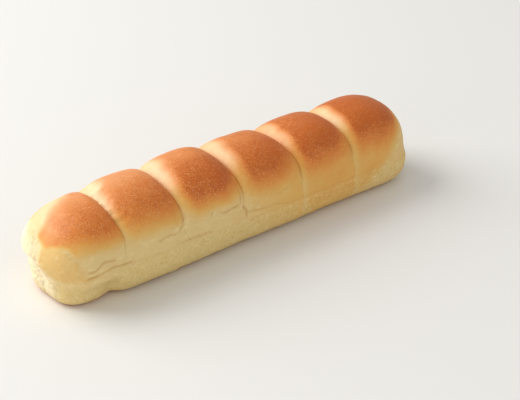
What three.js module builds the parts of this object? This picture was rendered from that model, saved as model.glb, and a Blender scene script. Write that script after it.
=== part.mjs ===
// A pull-apart brioche: one long loaf of six soft buns that were proofed and baked side by side in a
// row, so that they grew into each other. It is one solid. Millimetres, +Z up, X along the row of buns.
// The loaf rests on its flat base at z = 0, and the origin is the middle of its footprint.

import * as THREE from 'three';

// Driving sizes. A list holds one value for each bun, from the -X end to the +X end.
const bunLengths = [45, 44.25, 46, 47, 45.5, 57.75];
const crownHeights = [56, 60, 60, 56.5, 55.5, 54.5];
const halfWidths = [37, 36.5, 36, 35, 34.5, 33.5];
const baseHalfWidths = [33.5, 33, 32.5, 32, 31, 30.5];

// One value for each of the five seams between the buns.
const seamHeights = [51, 51, 50, 49, 48];
const seamSlants = [-0.5, -0.3, -1.2, 2.2, 2.7]; // how far the -Y end of a seam runs towards +X
const seamLean = 4; // how far a seam runs towards +X on its way down the side
const leanTop = 52;
const leanFoot = 30;
const seamPinch = 2.2; // how far a seam draws in the shoulder of the loaf

// The cross-section is a tall arch over a box with rounded corners, both superellipses round one centre.
const sectionCentre = 20;
const archPower = 2.4;
const footPower = 4.2;
const settledDepth = 0.4; // the base is pressed flat by this much
const bowOfSpine = 1.3;

// How full a bun is along the loaf, between the seam on each side of it.
const domePower = 4.2;
const domeRoot = 2.1;
const easeBetweenBuns = 16; // half the length over which one bun's size turns into the next one's

// Both ends are rounded. The part above the crease is rounder than the foot below it.
const ends = {
  near: { length: 31, planPower: 2.1, risePower: 1.9, poleHeight: 23.5 },
  far: { length: 33, planPower: 2.4, risePower: 2.4, poleHeight: 25 },
};
const footPlanPower = 2.9;
const footRisePower = 4.5;

// The first bun stands on a narrower foot, with a nick behind it where the next one begins.
const toe = { tuck: 4.5, start: 31, end: 46, top: 23, bottom: 11 };
const nick = { depth: 3.5, fromEnd: 35, halfLength: 4.5 };

// The soft skin of the top ends in a crease, and the torn crumb below it is set back.
const crease = { nearHeight: 26, farHeight: 21.5, setBack: 0.8, depth: 0.7, halfWidth: 1.3 };
const faintCrease = 0.5; // share of the crease that is left past the first bun
const overhang = 2.5; // how far the first bun's skin stands out over its foot, at the end

// Slow unevenness of the risen dough.
const unevenness = 0.45;
const waveLength = 19;

// Mesh: steps along each bun, and steps of each arc of the section, in degrees from the -Y side up.
const stepsPerBun = 13;
const arcs = [
  { from: -30, to: 3, steps: 7 }, // foot, -Y side
  { from: 3, to: 17, steps: 6 }, // crease, -Y side
  { from: 17, to: 163, steps: 28 }, // arch
  { from: 163, to: 177, steps: 6 }, // crease, +Y side
  { from: 177, to: 210, steps: 7 }, // foot, +Y side
  { from: 210, to: 330, steps: 10 }, // base
];

const loafLength = bunLengths.reduce((sum, length) => sum + length, 0);
const halfLoaf = loafLength / 2;

// Places along X where one bun ends and the next begins, with both ends of the loaf.
const seams = [-halfLoaf];
for (const length of bunLengths) {
  seams.push(seams[seams.length - 1] + length);
}

const { clamp, smoothstep, lerp, degToRad } = THREE.MathUtils;

// Goes smoothly from 0 at a to 1 at b, also where b is below a.
function ease(value, a, b) {
  return a < b ? smoothstep(value, a, b) : 1 - smoothstep(value, b, a);
}

function hump(value, centre, halfWidth) {
  return Math.exp(-(((value - centre) / halfWidth) ** 2));
}

// The size that belongs to a place along the loaf, turning smoothly from bun to bun.
function alongBuns(values, x) {
  let size = values[0];
  for (let i = 1; i < values.length; i++) {
    size += (values[i] - values[i - 1]) * ease(x, seams[i] - easeBetweenBuns, seams[i] + easeBetweenBuns);
  }
  return size;
}

// The value of a list for each seam, in a straight line from one seam to the next, fading out at the ends.
function alongSeams(values, x) {
  const padded = [0, ...values, 0];
  for (let i = 1; i < seams.length; i++) {
    if (x <= seams[i]) {
      return lerp(padded[i - 1], padded[i], (x - seams[i - 1]) / (seams[i] - seams[i - 1]));
    }
  }
  return 0;
}

// 1 over the body of a bun and 0 in the seam on either side of it, with the height of the nearer seam.
function bunFullness(x) {
  const last = bunLengths.length - 1;
  let bun = 0;
  while (bun < last && x > seams[bun + 1]) {
    bun++;
  }
  const place = (2 * (x - seams[bun])) / bunLengths[bun] - 1;
  const atOuterEnd = (bun === 0 && place < 0) || (bun === last && place > 0);
  const fullness = (1 - Math.abs(atOuterEnd ? 0 : place) ** domePower) ** (1 / domeRoot);
  const seam = clamp(place < 0 ? bun - 1 : bun, 0, seamHeights.length - 1);
  return { fullness, seamHeight: seamHeights[seam] };
}

// Distance from the section's centre to a superellipse with the given half axes.
function sectionRadius(cosine, sine, halfWidth, halfHeight, power) {
  return (Math.abs(cosine / halfWidth) ** power + Math.abs(sine / halfHeight) ** power) ** (-1 / power);
}

// A point of the loaf's skin, at a place along X and an angle up from the -Y side.
function skinPoint(x, angle) {
  const cosine = Math.cos(angle);
  const sine = Math.sin(angle);
  const above = sine >= 0;
  const fromNearEnd = x + halfLoaf;
  const towardsToe = ease(fromNearEnd, toe.end, toe.start);

  // Section of the full bun and of the seam, and the mix of the two at this place.
  const width = alongBuns(halfWidths, x);
  const { fullness, seamHeight } = bunFullness(x);
  const power = above ? archPower : footPower;
  const fullHeight = above ? alongBuns(crownHeights, x) - sectionCentre : sectionCentre;
  const lowHeight = above ? seamHeight - sectionCentre : sectionCentre;
  const drawnWidth = width - seamPinch * ease(sine, -0.05, 0.7);
  const full = sectionRadius(cosine, sine, width, fullHeight, power);
  const low = sectionRadius(cosine, sine, drawnWidth, lowHeight, power);
  const radius = lerp(low, full, fullness)
    + unevenness * Math.sin(x / waveLength + 2 * cosine) * Math.sin(2.3 * angle + x / (2 * waveLength));
  let y = -radius * cosine;
  let z = sectionCentre + radius * sine;

  // The sides draw in towards the base.
  const base = alongBuns(baseHalfWidths, x) - toe.tuck * towardsToe
    - nick.depth * hump(fromNearEnd, nick.fromEnd, nick.halfLength);
  const depth = clamp((sectionCentre - z) / sectionCentre, 0, 1);
  const drawIn = lerp(depth ** 1.3, ease(z, toe.top, toe.bottom), towardsToe);
  y *= 1 - (1 - base / width) * drawIn;

  // The rounded ends.
  const end = x < 0 ? ends.near : ends.far;
  const intoEnd = clamp((Math.abs(x) - halfLoaf + end.length) / end.length, 0, 1);
  const closing = (exponent) => (1 - intoEnd ** exponent) ** (1 / exponent);
  const plan = closing(lerp(end.planPower, footPlanPower, ease(z, 26, 14)));
  y *= plan;
  z = end.poleHeight + (z - end.poleHeight) * closing(z > end.poleHeight ? end.risePower : footRisePower);

  // The crease and the torn band below it, set in square to the side or the end.
  const creaseHeight = lerp(crease.nearHeight, crease.farHeight, ease(x, -halfLoaf, halfLoaf / 4));
  const setBack = crease.setBack * ease(z, creaseHeight + 1, creaseHeight - 1) * ease(z, 0, 8);
  const strength = lerp(1, faintCrease, ease(x, seams[1], seams[2]));
  const inset = strength * (setBack + crease.depth * hump(z, creaseHeight, crease.halfWidth));
  y -= Math.sign(y) * Math.min(inset * plan, Math.abs(y));
  const skinAtNearEnd = overhang * ease(z, creaseHeight - 2, creaseHeight + 4) * ease(x, seams[1], -halfLoaf);
  const alongInset = inset * Math.sqrt(1 - plan ** 2) * Math.sign(x) + skinAtNearEnd;

  // Seams run across the loaf at a slant and lean forward as they go down.
  const slant = (alongSeams(seamSlants, x) * -y) / width;
  const lean = seamLean * ease(z, leanTop, leanFoot) * ease(Math.abs(x), halfLoaf, halfLoaf - end.length);
  const bow = bowOfSpine * (1 - (x / halfLoaf) ** 2);
  return new THREE.Vector3(x + slant + lean - alongInset, y + bow, Math.max(z - settledDepth, 0));
}

// Steps along X that lie closest together at the seams and the two ends.
function stepsAlong() {
  const places = [seams[0]];
  bunLengths.forEach((length, bun) => {
    const middle = seams[bun] + length / 2;
    for (let step = 1; step <= stepsPerBun; step++) {
      places.push(middle - (length / 2) * Math.cos((Math.PI * step) / stepsPerBun));
    }
  });
  return places;
}

// Angles round the section, with the last one a full turn after the first.
function anglesAround() {
  const angles = [degToRad(arcs[0].from)];
  for (const arc of arcs) {
    for (let step = 1; step <= arc.steps; step++) {
      angles.push(degToRad(lerp(arc.from, arc.to, step / arc.steps)));
    }
  }
  return angles;
}

// A ball with its poles at the two ends, drawn out into the loaf.
function loafGeometry() {
  const places = stepsAlong();
  const angles = anglesAround();
  const geometry = new THREE.SphereGeometry(1, angles.length - 1, places.length - 1);
  const position = geometry.getAttribute('position');
  for (let row = 0; row < places.length; row++) {
    for (let column = 0; column < angles.length; column++) {
      const angle = angles[column % (angles.length - 1)];
      const point = skinPoint(places[row], angle);
      position.setXYZ(row * angles.length + column, point.x, point.y, point.z);
    }
  }
  geometry.computeBoundingBox();
  const middle = geometry.boundingBox.getCenter(new THREE.Vector3());
  geometry.translate(-middle.x, -middle.y, 0);
  geometry.computeVertexNormals();
  return geometry;
}

const crust = new THREE.MeshStandardMaterial({ color: 0xc98a4c, roughness: 0.55, metalness: 0 });

const brioche = new THREE.Group();
const loaf = new THREE.Mesh(loafGeometry(), crust);
loaf.name = 'brioche_loaf';
brioche.add(loaf);

export default brioche;
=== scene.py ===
import math

import bpy
from mathutils import Matrix, Vector


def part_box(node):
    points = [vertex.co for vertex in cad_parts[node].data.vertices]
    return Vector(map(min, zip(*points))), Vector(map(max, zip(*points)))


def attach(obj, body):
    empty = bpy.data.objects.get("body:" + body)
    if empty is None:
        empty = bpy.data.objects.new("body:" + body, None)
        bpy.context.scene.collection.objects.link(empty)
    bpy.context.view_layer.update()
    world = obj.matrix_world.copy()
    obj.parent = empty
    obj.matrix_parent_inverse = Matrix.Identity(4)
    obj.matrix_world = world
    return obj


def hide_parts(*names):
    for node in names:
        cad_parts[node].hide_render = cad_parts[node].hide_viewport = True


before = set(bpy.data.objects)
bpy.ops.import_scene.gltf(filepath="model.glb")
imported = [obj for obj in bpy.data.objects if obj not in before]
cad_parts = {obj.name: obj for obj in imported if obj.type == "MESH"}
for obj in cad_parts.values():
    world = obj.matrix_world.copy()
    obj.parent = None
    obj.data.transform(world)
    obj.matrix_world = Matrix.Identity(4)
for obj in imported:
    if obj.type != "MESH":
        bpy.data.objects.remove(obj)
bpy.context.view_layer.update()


class Socket:
    # one value of a node tree; arithmetic on it adds the Math nodes
    def __init__(self, graph, link):
        self.graph = graph
        self.link = link

    def __add__(self, other):
        return self.graph.math("ADD", self, other)

    def __sub__(self, other):
        return self.graph.math("SUBTRACT", self, other)

    def __rsub__(self, other):
        return self.graph.math("SUBTRACT", other, self)

    def __mul__(self, other):
        return self.graph.math("MULTIPLY", self, other)

    def __truediv__(self, other):
        return self.graph.math("DIVIDE", self, other)

    def __rtruediv__(self, other):
        return self.graph.math("DIVIDE", other, self)

    def __pow__(self, other):
        return self.graph.math("POWER", self, other)

    def __neg__(self):
        return self.graph.math("MULTIPLY", self, -1)

    def __abs__(self):
        return self.graph.math("ABSOLUTE", self)

    __radd__ = __add__
    __rmul__ = __mul__


class Graph:
    # adds nodes to one tree
    def __init__(self, tree):
        self.tree = tree

    def add(self, kind, settings=None, values=None, output=0):
        node = self.tree.nodes.new(kind)
        for name, setting in (settings or {}).items():
            if name == "stops":
                fillRamp(node.color_ramp, setting)
            else:
                setattr(node, name, setting)
        for name, value in (values or {}).items():
            if isinstance(value, Socket):
                self.tree.links.new(value.link, node.inputs[name])
            else:
                node.inputs[name].default_value = value
        return Socket(self, node.outputs[output]) if node.outputs else None

    def math(self, operation, *values):
        return self.add("ShaderNodeMath", {"operation": operation}, dict(enumerate(values)))

    def split(self, vector):
        node = self.add("ShaderNodeSeparateXYZ", values={0: vector}).link.node
        return [Socket(self, output) for output in node.outputs]

    def blend(self, first, second, share):  # of two colours
        first, second = [(*tone, 1) if isinstance(tone, tuple) else tone for tone in (first, second)]
        values = {0: share, 6: first, 7: second}  # a Mix node's sockets for colours
        return self.add("ShaderNodeMix", {"data_type": "RGBA"}, values, output=2)

    def join(self, x, y, z):
        return self.add("ShaderNodeCombineXYZ", values={0: x, 1: y, 2: z})


def fillRamp(colourRamp, stops):
    while len(colourRamp.elements) < len(stops):
        colourRamp.elements.new(0.5)
    for element, (place, colour) in zip(colourRamp.elements, stops):
        element.position = place
        element.color = (*colour, 1)


def ease(value, start, end):  # 0 at start, 1 at end, smooth between, also downwards
    values = {"Value": value, "From Min": start, "From Max": end}
    return value.graph.add("ShaderNodeMapRange", {"interpolation_type": "SMOOTHSTEP"}, values)


def ramp(value, start, end):  # the same in a straight line
    values = {"Value": value, "From Min": start, "From Max": end}
    return value.graph.add("ShaderNodeMapRange", None, values)


def between(value, rise, fall):  # 1 between two soft edges
    return ease(value, *rise) * ease(value, *fall)


def hump(value, centre, halfWidth):
    off = (value - centre) / halfWidth
    return value.graph.math("EXPONENT", -(off * off))


def lowest(a, b):
    return a.graph.math("MINIMUM", a, b)


def highest(a, b):
    return a.graph.math("MAXIMUM", a, b)


def sine(value):
    return value.graph.math("SINE", value)


def cosine(value):
    return value.graph.math("COSINE", value)


def mix(a, b, share):
    return (b - a) * share + a


def uneven(vector, spacing, size, detail, roughness=0.5):  # noise, up to about half the size either way
    values = {"Vector": vector, "Scale": 1 / spacing, "Detail": detail, "Roughness": roughness}
    return (vector.graph.add("ShaderNodeTexNoise", None, values) - 0.5) * size


def cells(vector, scale):  # distance to the nearest of scattered points, and that point's random colour
    node = vector.graph.add("ShaderNodeTexVoronoi", None, {"Vector": vector, "Scale": scale}).link.node
    return Socket(vector.graph, node.outputs["Distance"]), Socket(vector.graph, node.outputs["Color"])


metresPerMillimetre = 0.001

# The loaf's form, in millimetres: one value a bun, or one a seam, from the -X end to the +X end.
loafSizes = dict(
    bunLengths=[44.2, 44.75, 47.1, 46.4, 45.3, 57.75],
    crownHeights=[56, 59, 60, 57, 56.4, 56],
    halfWidths=[37, 36.5, 36, 35, 34.5, 33.5],
    baseHalfWidths=[33.5, 33, 32.5, 32, 31, 30.5],
    seamHeights=[52.5, 51.5, 50.5, 49.5, 48.5],
    seamSlants=[-1, -1.5, -1.2, 1.2, 0],
    easeBetweenBuns=16,
    sectionCentre=20,
    archPower=2.4,
    footPower=4.2,
    nearDome=dict(power=2.6, root=1.6),
    farDomePowers=[5, 3.3, 3.4, 4.2, 3.2, 4],
    farDomeRoot=2.1,
    nearEnd=dict(length=31, planPower=2.25, risePower=2.0, footRise=6, poleHeight=23.5),
    farEnd=dict(length=33, planPower=2.4, risePower=2.4, footRise=4.5, poleHeight=25),
    footPlanPower=3.1,
    footHeights=(26, 14),
    drawInPower=1.3,
    # the first bun stands on a narrower foot, with a nick behind it
    toe=dict(tuck=4, start=31, end=46, top=23, bottom=11),
    nick=dict(depth=5, fromEnd=39, halfLength=6.5),
    # the crease has sunk to its far height by this share of the +X half; below it the crumb is set back
    crease=dict(nearHeight=26, farHeight=21.5, sinksTo=0.25, depth=0.7, halfWidth=1.3, faint=0.5),
    setBack=dict(depth=0.8, step=(1, -1), base=(0, 8)),
    # the first bun's skin stands out over its foot
    overhang=5.4,
    skinRise=(0.5, 4),
    footInset=1.8,
    flap=dict(near=-118, full=-130, across=(3, -12), smooth=0.9, top=33, bottom=10),
    # heights between which the seams lean forward and back, and how they pinch the shoulder
    leanOut=(55, 44),
    leanBack=(43, 33),
    leanBackShare=2.2,
    pinchRise=(0.4, 0.8),
    # slow unevenness of the risen dough
    waveLength=19,
    wavesAround=2,
    # how the mesh is drawn together on the crown and at the two poles
    crownward=0.3,
    gather=1.7,
)

# What the modifier shows as its inputs.
loafInputs = dict(
    around=300,
    along=330,
    seamLean=1.0,
    seamPinch=2.6,
    bowOfSpine=1.3,
    settledDepth=0.5,
    unevenness=0.45,
    crustRelief=1.0,
    crumbRelief=1.0,
)


def alongBuns(x, values, seams, reach):
    size = values[0]
    for i in range(1, len(values)):
        if values[i] != values[i - 1]:
            size = ease(x, seams[i] - reach, seams[i] + reach) * (values[i] - values[i - 1]) + size
    return size


def alongSeams(x, values, seams, atEnds):
    padded = [atEnds[0], *values, atEnds[1]]
    size = padded[0]
    for i in range(1, len(padded)):
        if padded[i] != padded[i - 1]:
            size = ramp(x, seams[i - 1], seams[i]) * (padded[i] - padded[i - 1]) + size
    return size


def ofEachBun(row, values, slack=0.001):  # changes at once at a seam, whose ring is the next bun's
    value = values[0]
    for i in range(1, len(values)):
        if values[i] != values[i - 1]:
            past = row.graph.math("GREATER_THAN", row, i - slack)
            value = past * (values[i] - values[i - 1]) + value
    return value


def creaseLine(x, sizes):  # how high the crease lies
    crease = sizes["crease"]
    half = sum(sizes["bunLengths"]) / 2
    return mix(crease["nearHeight"], crease["farHeight"], ease(x, -half, half * crease["sinksTo"]))


def sectionRadius(cosAngle, sinAngle, halfWidth, halfHeight, power):
    across = abs(cosAngle / halfWidth) ** power
    upward = abs(sinAngle / halfHeight) ** power
    return (across + upward) ** (-1 / power)


def loafSkin(graph, given, sizes):
    seams = [-sum(sizes["bunLengths"]) / 2]
    for length in sizes["bunLengths"]:
        seams.append(seams[-1] + length)
    half = seams[-1]
    buns = len(sizes["bunLengths"])
    centre = sizes["sectionCentre"]
    near, far = sizes["nearEnd"], sizes["farEnd"]

    # a ball with its poles at the two ends gives each point a place along the row and an angle round it
    ballX, ballY, ballZ = graph.split(graph.add("GeometryNodeInputPosition"))
    fromPole = graph.math("ARCTAN2", graph.math("SQRT", ballX * ballX + ballY * ballY), ballZ)
    row = fromPole * (buns / math.pi)
    toNear, toFar = lowest(row, 1) ** sizes["gather"], lowest(buns - row, 1) ** sizes["gather"]
    row = toNear - toFar + highest(lowest(row, buns - 1), 1)  # rings gather at the two poles
    turn = graph.math("ARCTAN2", ballY, ballX)
    angle = turn + cosine(turn) * sizes["crownward"]  # points lie closer together on the crown
    cosAngle, sinAngle = cosine(angle), sine(angle)

    x = -half
    for i, length in enumerate(sizes["bunLengths"]):
        x = (1 - cosine(ramp(row, i, i + 1) * math.pi)) * (length / 2) + x
    # the loaf's two outermost half buns have no seam
    inside = graph.math("GREATER_THAN", row, 0.5) * graph.math("LESS_THAN", row, buns - 0.5)
    place = -cosine(graph.math("FRACT", row) * math.pi) * inside  # -1 and 1 at the bun's two seams

    # section of the full bun and of the seam, and the mix of the two
    above = graph.math("GREATER_THAN", sinAngle, 0)
    power = mix(sizes["footPower"], sizes["archPower"], above)
    width = alongBuns(x, sizes["halfWidths"], seams, sizes["easeBetweenBuns"])
    crown = alongBuns(x, sizes["crownHeights"], seams, sizes["easeBetweenBuns"])
    heights = sizes["seamHeights"]
    seamHeight = alongSeams(x, heights, seams, (heights[0], heights[-1]))
    farHalf = graph.math("GREATER_THAN", place, 0)
    domePower = mix(sizes["nearDome"]["power"], ofEachBun(row, sizes["farDomePowers"]), farHalf)
    domeRoot = mix(sizes["nearDome"]["root"], sizes["farDomeRoot"], farHalf)
    fullness = highest(1 - abs(place) ** domePower, 0) ** (1 / domeRoot)
    drawnWidth = width - given["seamPinch"] * ease(sinAngle, *sizes["pinchRise"])
    full = sectionRadius(cosAngle, sinAngle, width, mix(centre, crown - centre, above), power)
    low = sectionRadius(cosAngle, sinAngle, drawnWidth, mix(centre, seamHeight - centre, above), power)
    waveLength, around = sizes["waveLength"], sizes["wavesAround"]
    wave = sine(x / waveLength + cosAngle * around) * sine(angle * around + x / (2 * waveLength))
    radius = mix(low, full, fullness) + wave * given["unevenness"]
    y = -(radius * cosAngle)
    z = radius * sinAngle + centre

    # the sides draw in towards the base, most of all under the first bun
    toe, nick = sizes["toe"], sizes["nick"]
    towardsToe = ease(x, toe["end"] - half, toe["start"] - half)
    base = alongBuns(x, sizes["baseHalfWidths"], seams, sizes["easeBetweenBuns"])
    nicked = hump(x, nick["fromEnd"] - half, nick["halfLength"]) * nick["depth"]
    base = base - towardsToe * toe["tuck"] - nicked
    depth = ramp(z, centre, 0)
    drawIn = mix(depth ** sizes["drawInPower"], ease(z, toe["top"], toe["bottom"]), towardsToe)
    y = y * (1 - (1 - base / width) * drawIn)

    # the rounded ends
    atFar = graph.math("GREATER_THAN", x, 0)
    endLength = mix(near["length"], far["length"], atFar)
    intoEnd = lowest(highest((abs(x) - half + endLength) / endLength, 0), 1)
    poleHeight = mix(near["poleHeight"], far["poleHeight"], atFar)

    def closing(exponent):
        return highest(1 - intoEnd ** exponent, 0) ** (1 / exponent)

    planPower = mix(near["planPower"], far["planPower"], atFar)
    plan = closing(mix(planPower, sizes["footPlanPower"], ease(z, *sizes["footHeights"])))
    y = y * plan
    risePower = mix(near["risePower"], far["risePower"], atFar)
    footRise = mix(near["footRise"], far["footRise"], atFar)
    risePower = mix(footRise, risePower, graph.math("GREATER_THAN", z, poleHeight))
    z = poleHeight + (z - poleHeight) * closing(risePower)

    # the crease, and the torn crumb set back below it
    crease = sizes["crease"]
    creaseHeight = creaseLine(x, sizes)
    setIn = sizes["setBack"]
    setBack = ease(z - creaseHeight, *setIn["step"]) * ease(z, *setIn["base"]) * setIn["depth"]
    flap = sizes["flap"]  # the skin runs on smoothly over the corner of the -X end
    onFlap = ease(x, flap["near"], flap["full"]) * ease(y, *flap["across"])
    strength = mix(1, crease["faint"], ease(x, seams[1], seams[2])) * (1 - onFlap * flap["smooth"])
    inset = strength * (setBack + hump(z, creaseHeight, crease["halfWidth"]) * crease["depth"])
    y = y - graph.math("SIGN", y) * lowest(inset * plan, abs(y))
    skinTop = mix(creaseHeight + sizes["skinRise"][1], flap["top"], onFlap)
    skinFoot = mix(creaseHeight + sizes["skinRise"][0], flap["bottom"], onFlap)
    skin = ease(z, skinFoot, skinTop) * sizes["overhang"] - sizes["footInset"]
    skin = skin * ease(x, seams[1], -half)
    alongInset = inset * graph.math("SQRT", highest(1 - plan * plan, 0)) * graph.math("SIGN", x) + skin

    # seams run across at a slant, and forward on their way down
    slant = alongSeams(x, sizes["seamSlants"], seams, (0, 0)) * -y / width
    leanBack = ease(z, *sizes["leanBack"]) * sizes["leanBackShare"]
    lean = given["seamLean"] * (ease(z, *sizes["leanOut"]) - leanBack)
    lean = lean * ease(abs(x), half, half - endLength)
    bow = given["bowOfSpine"] * (1 - (x / half) ** 2)
    skinX = x + slant + lean - alongInset
    skinY = y + bow
    skinZ = highest(z - given["settledDepth"], 0)
    return skinX, skinY, skinZ, place, row


def throughPoints(value, points):  # the height of a line drawn through points, flat beyond both ends
    height = points[0][1]
    for (startX, startY), (endX, endY) in zip(points, points[1:]):
        height = ramp(value, startX, endX) * (endY - startY) + height
    return height


# Where the crust is browned, in millimetres; places along a bun run from -1 to 1, seam to seam.
bakeSizes = dict(
    bunBake=[0.86, 0.88, 1.02, 1.02, 1.07, 1.12],
    deepShoulder=dict(start=-0.3, end=0.6, share=0.08),
    # the lower edge of the brown on the side: its height, half the height over which it fades, and how
    # far it rises towards the seam on the +X side
    lowerEdge=[43, 43.3, 42.3, 39.8, 40, 40.5],
    lowerFade=[7.5, 9.5, 9.5, 10, 10.5, 10.5],
    edgeRise=[0, 0, 2.5, 6.5, 5.5, 0],
    # the pale shoulder of each bun: where it turns brown, on the crest and on the side, and how much
    # later on the +Y side; half the length over which it does; how brown it is, on the crest and on the
    # side; and where the crest turns into the side
    paleCrest=[-1, -0.78, -0.64, -0.58, -0.65, -0.73],
    paleSide=[-1, -0.86, -0.72, -0.68, -0.8, -0.8],
    paleBack=[0, 0.3, 0.14, 0.12, 0.1, 0.06],
    paleBackAcross=(2, 12),
    paleReach=[0.2, 0.2, 0.22, 0.22, 0.18, 0.15],
    shoulderCrest=[0, 0.15, 0.2, 0.22, 0.27, 0.06],
    shoulderSide=[0, 0.3, 0.3, 0.4, 0.5, 0.25],
    downSide=dict(z=(55, 46), y=(-3, -22)),
    # painted sheen: how much paler each bun is behind its crest, on the side that faces the light
    sheenBehindCrest=[0.28, 0.3, 0.24, 0.16, 0.08, 0],
    sheenBehindAcross=(-8, 8),
    # the edge of the brown round the -X end, through points of y and z, and behind it, of x and y
    endEdge=[(-24, 43.3), (-17, 42.6), (-10, 41.2), (-4, 41), (1, 42), (7, 44.3), (12, 47)],
    endAlong=(-130, -134.5),
    endFade=2.2,
    endShare=0.8,
    backEdge=[(-134.7, 3.5), (-127.8, 7), (-118, 11.5), (-110, 17), (-103, 30)],
    backFade=[(-137, 3), (-120, 8)],
    backPale=0.18,
    scorch=dict(y=0.5, z=44.5, reach=2.4, along=(-131, -135), share=0.3),
    # the edge of the brown at the +X end, which slants
    farFade=(141, 123),
    farPale=0.2,
    farSlant=dict(height=45, share=1.05),
    # a faint golden bake low on the side, stronger towards the +X end and weaker just past a seam
    goldenSide=dict(
        start=-40,
        end=75,
        share=0.36,
        foot=(-25, 25),
        crest=(51, 41),
        pastSeam=(-0.7, -0.95),
        lessPastSeam=0.5,
    ),
    foldBake=0.13,
    bakedBase=dict(nearHeight=4.5, farHeight=2.4, along=(-115, -95), foot=0.4, share=0.45),
)

# The smooth fold of skin over the corner of the -X end, up to an edge that runs through points of z
# and y.
foldSizes = dict(
    edge=[(24, -33.5), (31, -32), (36, -29), (38.5, -25), (43, -17)],
    softness=0.6,
    inner=(-3, -7),
    heights=((22, 24), (44.5, 41)),
    along=(-118, -124),
)


def foldShare(x, y, z, sizes):
    past = y - throughPoints(z, sizes["edge"])
    share = ease(past, -sizes["softness"], sizes["softness"]) * ease(y, *sizes["inner"])
    return share * between(z, *sizes["heights"]) * ease(x, *sizes["along"])


def bakedShare(graph, x, y, z, place, row, sizes):
    # pale along the sides, on the shoulder that faces the -X end, and round both ends of the loaf
    def ofBun(name):
        return ofEachBun(row, sizes[name])

    lowerEdge = ofBun("lowerEdge") + ofBun("edgeRise") * ease(place, 0, 1)
    onSide = ease((z - lowerEdge) / ofBun("lowerFade"), -1, 1)
    atEnd = ease(z - throughPoints(y, sizes["endEdge"]), -sizes["endFade"], sizes["endFade"])
    share = mix(onSide, atEnd * sizes["endShare"], ease(x, *sizes["endAlong"]))
    downSide = highest(ease(z, *sizes["downSide"]["z"]), ease(y, *sizes["downSide"]["y"]))
    turn = mix(ofBun("paleCrest"), ofBun("paleSide"), downSide)
    turn = turn + ofBun("paleBack") * ease(y, *sizes["paleBackAcross"])
    shoulder = mix(ofBun("shoulderCrest"), ofBun("shoulderSide"), downSide)
    share = share * mix(shoulder, 1, ease((place - turn) / ofBun("paleReach"), -1, 1))
    pastEdge = (y - throughPoints(x, sizes["backEdge"])) / throughPoints(x, sizes["backFade"])
    behind = mix(sizes["backPale"], 1, ease(pastEdge, 1, -1))
    share = share * mix(1, behind, graph.math("LESS_THAN", row, 1))  # on the first bun alone
    spot = sizes["scorch"]
    scorched = hump(y, spot["y"], spot["reach"]) * hump(z, spot["z"], spot["reach"])
    share = lowest(share + scorched * ease(x, *spot["along"]) * spot["share"], 1)
    # painted sheen: less brown behind each crest, where the crown faces the light
    share = share * (1 - ofBun("sheenBehindCrest") * ease(y, *sizes["sheenBehindAcross"]))
    deep = sizes["deepShoulder"]
    share = share * (ease(place, deep["start"], deep["end"]) * deep["share"] + 1 - deep["share"])
    golden = sizes["goldenSide"]
    tint = ease(x, golden["start"], golden["end"]) * golden["share"]
    tint = tint * ease(z, *golden["foot"]) * ease(z, *golden["crest"])
    tint = tint * (1 - ease(place, *golden["pastSeam"]) * golden["lessPastSeam"])
    tinted = mix(tint, 1, share * ofBun("bunBake"))
    slant = sizes["farSlant"]
    slanted = x - (z - slant["height"]) * slant["share"]
    tinted = tinted * mix(sizes["farPale"], 1, ease(slanted, *sizes["farFade"]))
    tinted = highest(tinted, foldShare(x, y, z, foldSizes) * sizes["foldBake"])
    base = sizes["bakedBase"]
    baseHeight = mix(base["nearHeight"], base["farHeight"], ease(x, *base["along"]))
    return highest(tinted, ease(z, baseHeight, base["foot"]) * base["share"])


# A painted highlight, whitening the skin where the light falls strongest: the -X end, and the crests of
# the pale shoulders.
highlightSizes = dict(
    along=(-122, -138),
    across=(-9, 5),
    heights=((2, 7), (48, 36)),
    widerFoot=dict(z=(34, 20), by=12),
    shoulder=(-0.5, -0.85),
    crest=(51, 57),
    crestShare=0.3,
)


def highlightShare(x, y, z, place, sizes):
    foot = sizes["widerFoot"]
    across = ease(y + ease(z, *foot["z"]) * foot["by"], *sizes["across"])
    end = ease(x, *sizes["along"]) * across * between(z, *sizes["heights"])
    crest = ease(place, *sizes["shoulder"]) * ease(z, *sizes["crest"])
    return highest(end, crest * sizes["crestShare"])


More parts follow.
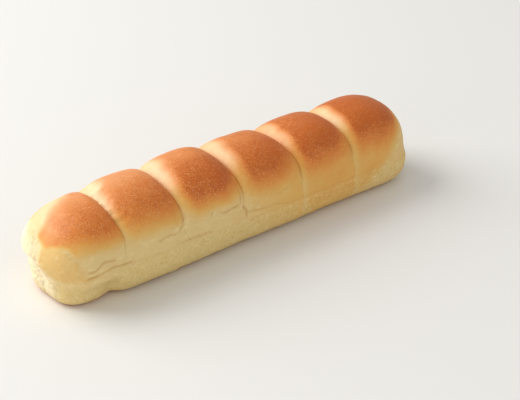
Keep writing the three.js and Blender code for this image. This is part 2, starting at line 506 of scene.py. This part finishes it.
# Lines pressed into the -Y side, by xz or zx, and into the -X end, by yz. Each runs through points of
# those two coordinates, in rising order of the first.
pressedLines = [
    dict(
        by="xz",
        points=[(-130, 24.5), (-122.5, 25.2), (-118, 26.4), (-112, 27.9), (-104, 27.3), (-95, 26)],
        depth=0.8,
    ),
    dict(
        by="xz",
        points=[(-130, 29), (-123.5, 29.2), (-119.6, 31.6), (-116.4, 33.4), (-107, 31.6)],
        depth=0.7,
    ),
    dict(by="xz", points=[(-66, 25.8), (-50, 25.6), (-34, 24.6)], depth=0.6),
    dict(by="xz", points=[(-8.6, 28.1), (5.4, 26), (20, 24), (28.6, 22.2)], depth=0.5),
    dict(by="xz", points=[(-79, 32.8), (-67, 33.6), (-61, 33.4), (-56.5, 36.5)], depth=0.6),
    dict(
        by="xz",
        points=[(-37, 34), (-32.7, 37), (-23.5, 34.1), (-17.8, 34.7), (-11, 34.5)],
        depth=0.7,
    ),
    dict(by="xz", points=[(11, 33.5), (22, 32.6), (34, 34.5)], depth=0.35),
    dict(by="zx", points=[(21, -10), (24.3, -7.3), (30.5, -8.1), (36, -11)], depth=0.6),
    dict(by="zx", points=[(33.5, -60), (36, -57), (38, -55.6), (44, -54.6)], depth=0.5),
    dict(by="zx", points=[(34, -11.3), (38, -10.6), (45, -9.5)], depth=0.6),
    dict(by="zx", points=[(30, 40.6), (37, 40.6), (43, 40)], depth=0.35),
    dict(by="zx", points=[(30, 82), (36, 82.7), (43, 83)], depth=0.4),
    dict(by="zx", points=[(22, -53), (32, -54.5)], depth=0.3),
    dict(by="yz", points=[(-11, 32.2), (5, 28.2), (16, 27.5)], depth=0.4),
    dict(by="yz", points=[(-16, 20), (-4, 21.5), (8, 20)], depth=0.3),
]
lineSizes = dict(width=0.75, runOut=3, side=(0, -10), end=(-128, -134))

# The torn crumb: the band below the crease, the foot of the -X end, and two patches on that end.
tornSizes = dict(
    band=(0.5, -2),
    bandAlong=(-122, -104),
    foot=(19, 16),
    footAlong=(-104, -114),
    footShare=0.8,
    base=(1.5, 4),
    atEnd=(-132, -136),
    patches=[
        dict(y=((-3, 0), (18, 14)), z=((29, 31), (44, 41))),
        dict(y=((-16, -13), (13, 9)), z=((3, 6), (24, 21))),
    ],
)

# How far the edges of these marks wander: the spacing, size and detail of each unevenness. The lines
# wander less near the -X end, and the torn edge less up and down.
wander = dict(
    bake=(14, 5, 2),
    line=(4, 3, 3),
    lineAtEnd=1.2,
    endReach=(-108, -88),
    torn=(7, 7, 3),
    tornUp=0.3,
)

# The lines are fainter here and there, and whole near the -X end.
brokenLines = dict(noise=(8, 1, 2), part=(-0.22, 0.08), least=0.4, whole=(-85, -95))

# The low relief of the skin: the spacing, size and detail of each kind, and where it lies.
reliefSizes = dict(
    lump=(17, 0.9, 1),
    dent=(6, 0.22, 2),
    wrinkle=(4.2, 2.2, 2),
    wrinkled=dict(place=(-0.5, -0.7), z=(40, 50), along=(-80, -96), least=0.25),
    crumb=(2.0, 1.0, 2),
    coarseCrumb=(5, 1.0, 2),
    crumbAtEnd=dict(along=(-125, -135), times=2.2),
    fold=0.7,
    base=(0, 3),
)


def pressedDepth(x, y, z, lines, sizes):
    onSide = ease(y, *sizes["side"])
    atEnd = ease(x, *sizes["end"])
    runOut = sizes["runOut"]
    depth = 0
    for line in lines:
        along, across = {"xz": (x, z), "zx": (z, x), "yz": (y, z)}[line["by"]]
        points = line["points"]
        start, end = points[0][0], points[-1][0]
        share = hump(across - throughPoints(along, points), 0, sizes["width"])
        share = share * between(along, (start, start + runOut), (end, end - runOut))
        depth = share * (atEnd if line["by"] == "yz" else onSide) * line["depth"] + depth
    return depth


def tornShare(x, y, z, edge, sizes):
    band = ease(z - edge, *sizes["band"]) * ease(x, *sizes["bandAlong"])
    foot = ease(z, *sizes["foot"]) * ease(x, *sizes["footAlong"]) * sizes["footShare"]
    torn = highest(band, foot) * ease(z, *sizes["base"])
    atEnd = ease(x, *sizes["atEnd"])
    for patch in sizes["patches"]:
        torn = highest(torn, between(y, *patch["y"]) * between(z, *patch["z"]) * atEnd)
    return torn


def loafRelief(graph, given, sizes):
    position = graph.add("GeometryNodeInputPosition")
    x, y, z = graph.split(position)

    def stored(name):
        return graph.add("GeometryNodeInputNamedAttribute", {"data_type": "FLOAT"}, {"Name": name})

    def bumps(name):
        return uneven(position, *sizes[name])

    torn = stored("torn")
    crust = 1 - torn
    where = sizes["wrinkled"]
    wrinkled = ease(stored("bunPlace"), *where["place"]) * ease(z, *where["z"])
    wrinkled = wrinkled * mix(where["least"], 1, ease(x, *where["along"]))  # most on the second bun
    skin = bumps("lump") + bumps("dent") * crust + bumps("wrinkle") * wrinkled
    atEnd = sizes["crumbAtEnd"]
    rougher = mix(1, atEnd["times"], ease(x, *atEnd["along"]))
    crumb = (bumps("crumb") + bumps("coarseCrumb")) * torn * rougher
    height = skin + stored("folded") * sizes["fold"] - stored("pressed")
    height = height * given["crustRelief"] + crumb * given["crumbRelief"]
    return height * ease(z, *sizes["base"])


def store(graph, geometry, name, value):
    return graph.add(
        "GeometryNodeStoreNamedAttribute",
        {"data_type": "FLOAT", "domain": "POINT"},
        {"Geometry": geometry, "Name": name, "Value": value},
    )


def buildLoafTree(sizes, inputs, material):
    tree = bpy.data.node_groups.new("loafTree", "GeometryNodeTree")
    graph = Graph(tree)
    for name, value in inputs.items():
        kind = "NodeSocketInt" if isinstance(value, int) else "NodeSocketFloat"
        tree.interface.new_socket(name=name, in_out="INPUT", socket_type=kind)
    tree.interface.new_socket(name="loaf", in_out="OUTPUT", socket_type="NodeSocketGeometry")
    entry = graph.add("NodeGroupInput").link.node
    given = {name: Socket(graph, entry.outputs[name]) for name in inputs}

    rings = {"Segments": given["around"], "Rings": given["along"]}
    ball = graph.add("GeometryNodeMeshUVSphere", None, rings)
    x, y, z, place, row = loafSkin(graph, given, sizes)
    skin = graph.join(x, y, z)

    drift = uneven(skin, *wander["bake"])
    spacing, size, detail = wander["line"]
    size = mix(wander["lineAtEnd"], size, ease(x, *wander["endReach"]))
    jagged = uneven(skin, spacing, size, detail)
    ragged = uneven(skin, *wander["torn"])
    raggedUp = ragged * wander["tornUp"]
    broken = ease(uneven(skin, *brokenLines["noise"]), *brokenLines["part"])
    broken = highest(mix(brokenLines["least"], 1, broken), ease(x, *brokenLines["whole"]))

    # what the material and the relief read
    marks = dict(
        bunPlace=place,
        browned=bakedShare(graph, x + drift, y + drift, z + drift, place, row, bakeSizes),
        pressed=pressedDepth(x + jagged, y, z + jagged, pressedLines, lineSizes) * broken,
        folded=foldShare(x + jagged, y + jagged, z, foldSizes),
        torn=tornShare(x + ragged, y + ragged, z + raggedUp, creaseLine(x, sizes), tornSizes),
        # the painted highlight: skin whitened where the light falls strongest
        white=highlightShare(x, y, z, place, highlightSizes),
    )
    for name, value in marks.items():
        ball = store(graph, ball, name, value)
    form = graph.add("GeometryNodeSetPosition", None, {"Geometry": ball, "Position": skin})
    normal = graph.add("GeometryNodeInputNormal")
    height = loafRelief(graph, given, reliefSizes)
    lift = graph.add("ShaderNodeVectorMath", {"operation": "SCALE"}, {0: normal, "Scale": height})
    form = graph.add("GeometryNodeSetPosition", None, {"Geometry": form, "Offset": lift})
    shrunk = (metresPerMillimetre,) * 3
    metres = graph.add("GeometryNodeTransform", None, {"Geometry": form, "Scale": shrunk})
    smooth = graph.add("GeometryNodeSetShadeSmooth", None, {"Geometry": metres})
    real = graph.add("GeometryNodeRealizeInstances", None, {"Geometry": smooth})
    done = graph.add("GeometryNodeSetMaterial", None, {"Geometry": real, "Material": material})
    graph.add("NodeGroupOutput", None, {"loaf": done})
    return tree


def addObject(name, data):
    added = bpy.data.objects.new(name, data)
    bpy.context.scene.collection.objects.link(added)
    return added


def growMesh(name, tree, inputs):
    seed = addObject(name + "Seed", bpy.data.meshes.new(name + "Seed"))
    modifier = seed.modifiers.new("grow", "NODES")
    modifier.node_group = tree
    for item in tree.interface.items_tree:
        if item.in_out == "INPUT":
            modifier[item.identifier] = inputs[item.name]
    evaluated = seed.evaluated_get(bpy.context.evaluated_depsgraph_get())
    mesh = bpy.data.meshes.new_from_object(evaluated)
    mesh.name = name
    seed.modifiers.remove(modifier)
    bpy.data.objects.remove(seed)
    return addObject(name, mesh)


breadLook = dict(
    # from raw skin to the darkest crust
    bakeStops=[
        (0, (0.74, 0.54, 0.235)),
        (0.25, (0.74, 0.43, 0.115)),
        (0.5, (0.73, 0.318, 0.063)),
        (0.75, (0.68, 0.215, 0.036)),
        (1, (0.50, 0.108, 0.012)),
    ],
    # a paler, less saturated ramp on the crest and on the +Y side behind it, as painted sheen, and
    # where it begins
    sheenHeights=(42, 51),
    sheenAcross=(-25, -7),
    sheenStops=[
        (0, (0.86, 0.71, 0.41)),
        (0.25, (0.85, 0.49, 0.235)),
        (0.5, (0.83, 0.352, 0.138)),
        (0.75, (0.72, 0.238, 0.058)),
        (1, (0.52, 0.117, 0.012)),
    ],
    # the colour of the painted highlight, and how it fades as the skin browns
    white=(0.865, 0.745, 0.525),
    highlightBake=(0.55, 0),  # the white fades as the skin browns
    crumb=(0.72, 0.545, 0.22),
    pore=(0.50, 0.34, 0.09),
    flake=(0.86, 0.74, 0.42),
    creaseColour=(0.5, 0.25, 0.04),
    creaseDepths=(0.08, 0.65),
    creaseShare=0.48,
    # light specks on the crust, blisters partly painted as glints, most on the buns towards the -X end:
    # which of the scattered points have one, how far it reaches, how brown the crust is there, and how
    # the specks fade along the loaf
    speck=(0.92, 0.57, 0.31),
    speckSpacing=1.2,
    speckChosen=(0.4, 0.8),
    speckReach=(0.45, 0.1),
    speckBake=(0.3, 0.7),
    speckShare=0.44,
    specksFade=(-70, 40),
    farSpecks=0.5,
    # unevenness of colour and of the fine relief: its spacing in millimetres, strength and detail, and
    # its roughness where that isn't 0.5
    patch=(9, 0.22, 3),
    fleck=(2.2, 0.12, 2),
    mottle=(1.1, 0.75, 4, 0.65),
    cloud=(5, 0.2, 2),
    crumbCloud=(3.5, 0.5, 3),
    grain=(1.5, 1, 2),
    coarseGrain=(5, 0.3, 1),
    fineBump=(1.1, 1, 3),
    wrinkleBump=(3, 1.6, 3, 0.6),
    streaks=(2.6, 1, 3, 0.6),
    # the streaks of the pale skin, stretched along the loaf: which part of their noise shows, and how
    # strongly
    streakStretch=0.45,
    streakBake=(0.35, 0.1),
    paleStreaks=dict(part=(0.03, 0.25), share=0.4),
    deepStreaks=dict(part=(-0.03, -0.25), share=0.16),
    # the crumb's own colour fades along the loaf and under the painted highlight; pores and flakes show
    # its grain
    crumbCover=dict(least=0.5, along=(-20, 60), lessFar=0.7, lessUnderHighlight=0.65),
    pores=dict(part=(0.04, 0.26), share=0.45, foot=(10, 3), moreAtFoot=0.25),
    flakes=dict(part=(0.02, -0.26), share=0.35, end=(-100, -118), moreAtEnd=0.25),
    crustRoughness=0.47,
    skinRoughness=0.6,
    crumbRoughness=0.9,
    specular=0.3,
    crustBump=0.5,
    crumbBump=0.8,
    grainBump=1.6,
    speckBump=0.5,
    bumpStrength=0.35,
    bumpDistance=0.0004,
)


def breadMaterial(look):
    material = bpy.data.materials.new("breadCrust")
    material.use_nodes = True
    material.node_tree.nodes.clear()
    graph = Graph(material.node_tree)
    where = graph.add("ShaderNodeTexCoord", output="Object")
    larger = {0: where, "Scale": 1 / metresPerMillimetre}
    scaled = graph.add("ShaderNodeVectorMath", {"operation": "SCALE"}, larger)
    x, y, z = graph.split(scaled)

    def stored(name):
        return graph.add("ShaderNodeAttribute", {"attribute_name": name}, output="Fac")

    def marks(name):
        return uneven(scaled, *look[name])

    browned, torn, white, pressed = [stored(name) for name in ("browned", "torn", "white", "pressed")]

    # the bake is uneven where it fades, and mottled all over
    fading = browned * (1 - browned) * 4  # 1 where it is half brown
    patchy = marks("patch") + marks("fleck")
    mottle = marks("mottle") + marks("cloud")
    bake = browned + patchy * fading + mottle * browned
    side = graph.add("ShaderNodeValToRGB", {"stops": look["bakeStops"]}, {"Fac": bake})
    # painted sheen: the crest and the +Y side take the paler ramp
    crest = graph.add("ShaderNodeValToRGB", {"stops": look["sheenStops"]}, {"Fac": bake})
    colour = graph.blend(side, crest, ease(z, *look["sheenHeights"]) * ease(y, *look["sheenAcross"]))
    # painted highlight: the skin whitened where the light falls strongest, fading as it browns
    colour = graph.blend(colour, look["white"], white * ease(browned, *look["highlightBake"]))

    # the pale skin is streaked along the loaf
    drawnOut = graph.join(x * look["streakStretch"], y, z)
    streaks = uneven(drawnOut, *look["streaks"]) * ease(browned, *look["streakBake"])
    for tone, kind in ((look["flake"], look["paleStreaks"]), (look["pore"], look["deepStreaks"])):
        colour = graph.blend(colour, tone, ease(streaks, *kind["part"]) * kind["share"])

    # light blister specks, partly painted glints, fewer towards the +X end
    distance, tint = cells(scaled, 1 / look["speckSpacing"])
    chosen = ease(graph.split(tint)[0], *look["speckChosen"])
    specks = ease(distance, *look["speckReach"]) * chosen * ease(browned, *look["speckBake"])
    specks = specks * look["speckShare"] * mix(1, look["farSpecks"], ease(x, *look["specksFade"]))
    colour = graph.blend(colour, look["speck"], specks)

    # the torn crumb is porous, most of all near the base, and flaky, most of all at the -X end
    cover, pores, flakes = look["crumbCover"], look["pores"], look["flakes"]
    covered = marks("crumbCloud") + cover["least"]
    covered = covered * (1 - ease(x, *cover["along"]) * cover["lessFar"])
    # less crumb colour under the painted highlight
    covered = covered * (1 - white * cover["lessUnderHighlight"])
    colour = graph.blend(colour, look["crumb"], torn * covered)
    grain = marks("grain") + marks("coarseGrain")
    porous = ease(z, *pores["foot"]) * pores["moreAtFoot"] + pores["share"]
    porous = ease(grain, *pores["part"]) * porous
    colour = graph.blend(colour, look["pore"], torn * porous)
    flaky = ease(x, *flakes["end"]) * flakes["moreAtEnd"] + flakes["share"]
    flaky = ease(grain, *flakes["part"]) * flaky
    colour = graph.blend(colour, look["flake"], torn * flaky)
    creased = ease(pressed, *look["creaseDepths"]) * look["creaseShare"]
    colour = graph.blend(colour, look["creaseColour"], creased)

    rough = mix(look["skinRoughness"], look["crustRoughness"], browned)
    rough = mix(rough, look["crumbRoughness"], torn)
    relief = marks("fineBump") * mix(look["crustBump"], look["crumbBump"], torn)
    relief = relief - grain * torn * look["grainBump"]
    relief = relief + marks("wrinkleBump") * browned + specks * look["speckBump"]
    values = {"Strength": look["bumpStrength"], "Distance": look["bumpDistance"], "Height": relief}
    bump = graph.add("ShaderNodeBump", None, values)
    values = {
        "Base Color": colour,
        "Roughness": rough,
        "Specular IOR Level": look["specular"],
        "Normal": bump,
    }
    shader = graph.add("ShaderNodeBsdfPrincipled", None, values)
    graph.add("ShaderNodeOutputMaterial", None, {"Surface": shader})
    return material


bread = breadMaterial(breadLook)
print("bread material ready")
loafTree = buildLoafTree(loafSizes, loafInputs, bread)
print("loaf tree built,", len(loafTree.nodes), "nodes")
loaf = growMesh("briocheLoaf", loafTree, loafInputs)

# its +X tip and its middle across lie where the solid's do
low = Vector(min(v.co[i] for v in loaf.data.vertices) for i in range(3))
high = Vector(max(v.co[i] for v in loaf.data.vertices) for i in range(3))
boxLow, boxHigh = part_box("brioche_loaf")
shift = (boxHigh.x - high.x, (boxLow.y + boxHigh.y - low.y - high.y) / 2, 0)
loaf.data.transform(Matrix.Translation(shift))
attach(loaf, "root")
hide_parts("brioche_loaf")
print("loaf grown,", len(loaf.data.polygons), "faces")

# In metres and watts; the lights point at the loaf.
studio = dict(
    floorSize=6.0,
    floorColour=(0.80, 0.79, 0.76),
    floorRoughness=0.6,
    worldColour=(1.0, 0.99, 0.97),
    worldStrength=0.53,
    lights=[
        dict(name="windowLight", place=(-0.98, 1.38, 1.22), size=1.8, power=46.0),
        dict(name="frontFill", place=(0.4, -1.3, 0.8), size=1.6, power=3.5),
        dict(name="sideFill", place=(-1.4, -0.5, 0.35), size=1.0, power=3.0),
    ],
)


def addFloor(setup):
    half = setup["floorSize"] / 2
    mesh = bpy.data.meshes.new("floor")
    corners = [(-half, -half, 0), (half, -half, 0), (half, half, 0), (-half, half, 0)]
    mesh.from_pydata(corners, [], [(0, 1, 2, 3)])
    floor = addObject("floor", mesh)
    material = bpy.data.materials.new("paleFloor")
    material.use_nodes = True
    shader = material.node_tree.nodes["Principled BSDF"]
    shader.inputs["Base Color"].default_value = (*setup["floorColour"], 1)
    shader.inputs["Roughness"].default_value = setup["floorRoughness"]
    mesh.materials.append(material)


def addLight(name, place, size, power):
    lamp = bpy.data.lights.new(name, "AREA")
    lamp.shape = "SQUARE"
    lamp.size = size
    lamp.energy = power
    light = addObject(name, lamp)
    light.location = place
    light.rotation_euler = (-Vector(place)).to_track_quat("-Z", "Y").to_euler()


def addWorld(setup):
    world = bpy.data.worlds.new("studio")
    world.use_nodes = True
    background = world.node_tree.nodes["Background"]
    background.inputs["Color"].default_value = (*setup["worldColour"], 1)
    background.inputs["Strength"].default_value = setup["worldStrength"]
    bpy.context.scene.world = world
    bpy.context.scene.view_settings.view_transform = "Standard"


# Angles in degrees, down from level and from +Y towards +X; the lens and sensor in millimetres.
cameraSetup = dict(place=(-0.5987, -0.7995, 0.6), downTilt=30.2, heading=38.2, lens=122.54, sensor=36)


def addCamera(setup):
    camera = addObject("camera", bpy.data.cameras.new("camera"))
    camera.data.lens = setup["lens"]
    camera.data.sensor_width = setup["sensor"]
    camera.location = setup["place"]
    camera.rotation_euler = (math.radians(90 - setup["downTilt"]), 0, math.radians(-setup["heading"]))
    bpy.context.scene.camera = camera


addFloor(studio)
for light in studio["lights"]:
    addLight(**light)
addWorld(studio)
addCamera(cameraSetup)
print("studio ready")
